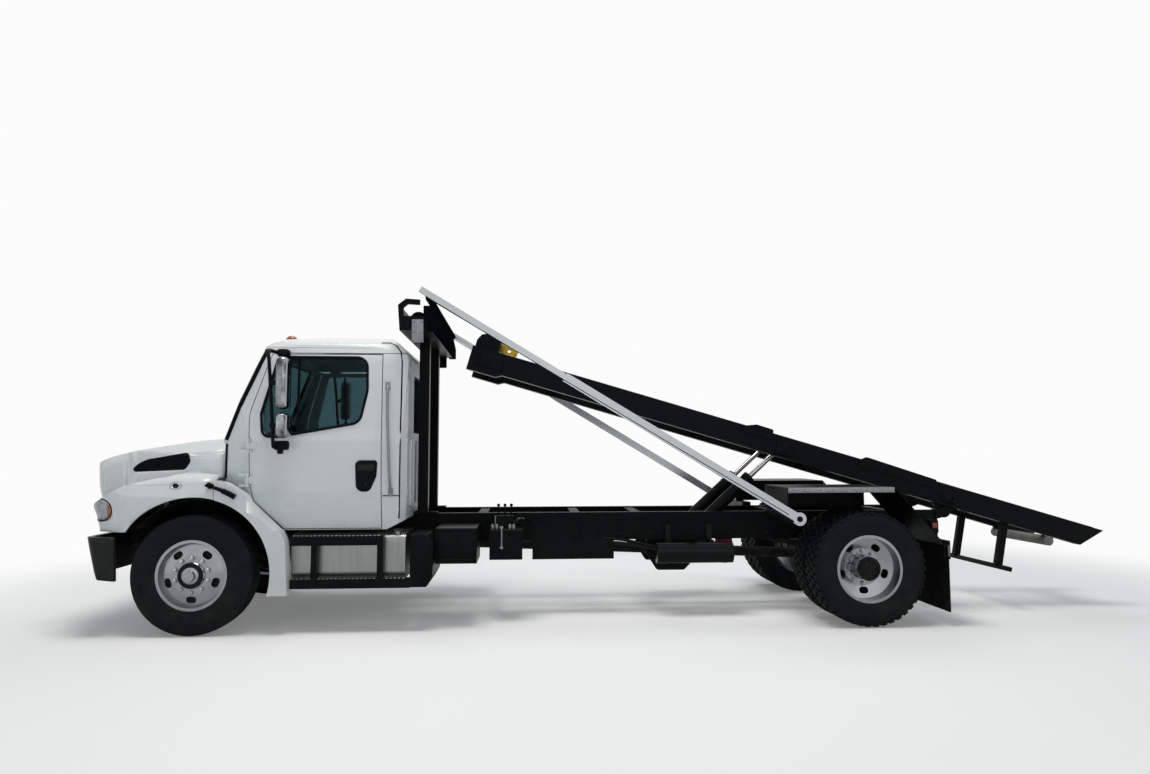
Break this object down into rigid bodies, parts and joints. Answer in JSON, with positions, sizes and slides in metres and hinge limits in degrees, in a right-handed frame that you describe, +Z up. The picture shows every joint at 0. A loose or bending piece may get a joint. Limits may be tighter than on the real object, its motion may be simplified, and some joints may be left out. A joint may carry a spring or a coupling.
{
  "type": "roll-off truck",
  "caption": "Medium conventional truck with a white cab, a tilting black roll-off hoist, swinging tarp arms and a tarp gantry behind the cab.",
  "frame": {"origin": "on the ground, under the centre of the overall box", "axes": "+X to the front of the truck, +Y to its left (driver) side, +Z up"},
  "size_m": [9.5114, 2.58, 2.9741],
  "materials": {
    "white": "gloss",
    "black": "gloss",
    "dark_steel": "satin",
    "aluminium": "brushed",
    "polished_wheel": "polished",
    "glass": "clear",
    "tyre": "matte",
    "rubber": "matte",
    "chrome": "polished",
    "grey_plastic": "matte",
    "seat_fabric": "matte",
    "lamp": "gloss",
    "amber_lamp": "gloss",
    "red_lamp": "gloss",
    "tarp": "matte",
    "yellow": "gloss",
    "rod_chrome": "polished"
  },
  "bodies": {
    "chassis": {"air_tanks": "black", "bumper": "black", "cab_back": "white", "cab_floor": "white", "cab_front": "white", "cab_glass": "glass", "cab_roof": "white", "control_valve": "dark_steel", "dashboard": "grey_plastic", "engine": "dark_steel", "exhaust_box": "black", "frame_boxes": "black", "front_axle": "dark_steel", "fuel_tank": "aluminium", "gantry_posts": "black", "grab_bars": "chrome", "hoist_mounts": "black", "ladder_frame": "black", "mudflaps": "rubber", "outriggers": "black", "quarter_fenders": "white", "rear_axle": "dark_steel", "rear_fenders": "black", "roof_lamps": "amber_lamp", "seats": "seat_fabric", "side_steps": "black", "tail_lamps": "red_lamp", "tarp_roll": "tarp", "tarp_tray": "black"},
    "hood": {"hood": "white", "grille": "grey_plastic", "headlamps": "lamp", "hood_vents": "grey_plastic"},
    "door_left": {"door_left": "white", "door_glass_left": "glass", "mirror_left": "black"},
    "door_right": {"door_right": "white", "door_glass_right": "glass", "mirror_right": "black"},
    "knuckle_left": {"knuckle_left": "dark_steel"},
    "knuckle_right": {"knuckle_right": "dark_steel"},
    "front_wheel_left": {"front_tyre_left": "tyre", "front_rim_left": "polished_wheel"},
    "front_wheel_right": {"front_tyre_right": "tyre", "front_rim_right": "polished_wheel"},
    "rear_wheels_left": {"rear_tyres_left": "tyre", "rear_rims_left": "polished_wheel"},
    "rear_wheels_right": {"rear_tyres_right": "tyre", "rear_rims_right": "polished_wheel"},
    "hoist": {"hoist_frame": "black", "winch_head": "black", "pull_block": "yellow", "underride_guard": "black", "tail_roller": "chrome"},
    "tilt_barrels": {"tilt_barrels": "black"},
    "tilt_rods": {"tilt_rods": "rod_chrome"},
    "tarp_arms": {"tarp_arms": "aluminium"}
  },
  "joints": [
    {"name": "steer_left", "type": "hinge", "parent": "chassis", "child": "knuckle_left", "pos_m": [3.80571, 0.88, 0.506], "axis": [0, 0, 1], "range_deg": [-38, 38]},
    {"name": "steer_right", "type": "hinge", "parent": "chassis", "child": "knuckle_right", "pos_m": [3.80571, -0.88, 0.506], "axis": [0, 0, 1], "range_deg": [-38, 38]},
    {"name": "front_wheel_left_spin", "type": "hinge", "parent": "knuckle_left", "child": "front_wheel_left", "pos_m": [3.80571, 1.015, 0.506], "axis": [0, 1, 0], "continuous": true},
    {"name": "front_wheel_right_spin", "type": "hinge", "parent": "knuckle_right", "child": "front_wheel_right", "pos_m": [3.80571, -1.015, 0.506], "axis": [0, 1, 0], "continuous": true},
    {"name": "rear_wheels_left_spin", "type": "hinge", "parent": "chassis", "child": "rear_wheels_left", "pos_m": [-2.03629, 0.9145, 0.506], "axis": [0, 1, 0], "continuous": true},
    {"name": "rear_wheels_right_spin", "type": "hinge", "parent": "chassis", "child": "rear_wheels_right", "pos_m": [-2.03629, -0.9145, 0.506], "axis": [0, 1, 0], "continuous": true},
    {"name": "door_left_hinge", "type": "hinge", "parent": "chassis", "child": "door_left", "pos_m": [3.40971, 1.012, 1.45], "axis": [0, 0, -1], "range_deg": [0, 65]},
    {"name": "door_right_hinge", "type": "hinge", "parent": "chassis", "child": "door_right", "pos_m": [3.40971, -1.012, 1.45], "axis": [0, 0, 1], "range_deg": [0, 65]},
    {"name": "hood_tilt", "type": "hinge", "parent": "chassis", "child": "hood", "pos_m": [4.73071, 0, 0.853], "axis": [0, 1, 0], "range_deg": [0, 65]},
    {"name": "hoist_tilt", "type": "hinge", "parent": "chassis", "child": "hoist", "pos_m": [-3.14429, 0, 0.96], "axis": [0, -1, 0], "range_deg": [-16.2, 23.8]},
    {"name": "tilt_barrel_swing", "type": "hinge", "parent": "chassis", "child": "tilt_barrels", "pos_m": [-0.35429, 0, 0.5], "axis": [0, 1, 0], "range_deg": [-5.8, 8.5]},
    {"name": "tilt_rod_slide", "type": "slide", "parent": "tilt_barrels", "child": "tilt_rods", "axis": [-0.7409, 0, 0.6716], "range_m": [-0.365, 0.535]},
    {"name": "tarp_arm_swing", "type": "hinge", "parent": "chassis", "child": "tarp_arms", "pos_m": [-1.39729, 0, 0.951], "axis": [0, -1, 0], "range_deg": [0, 120]}
  ],
  "couplings": [
    {"joint": "steer_right", "follows": "steer_left", "ratio": 1},
    {"joint": "tilt_barrel_swing", "follows": "hoist_tilt", "ratio": 0.35},
    {"joint": "tilt_rod_slide", "follows": "hoist_tilt", "m_per_rad": 1.2834}
  ]
}
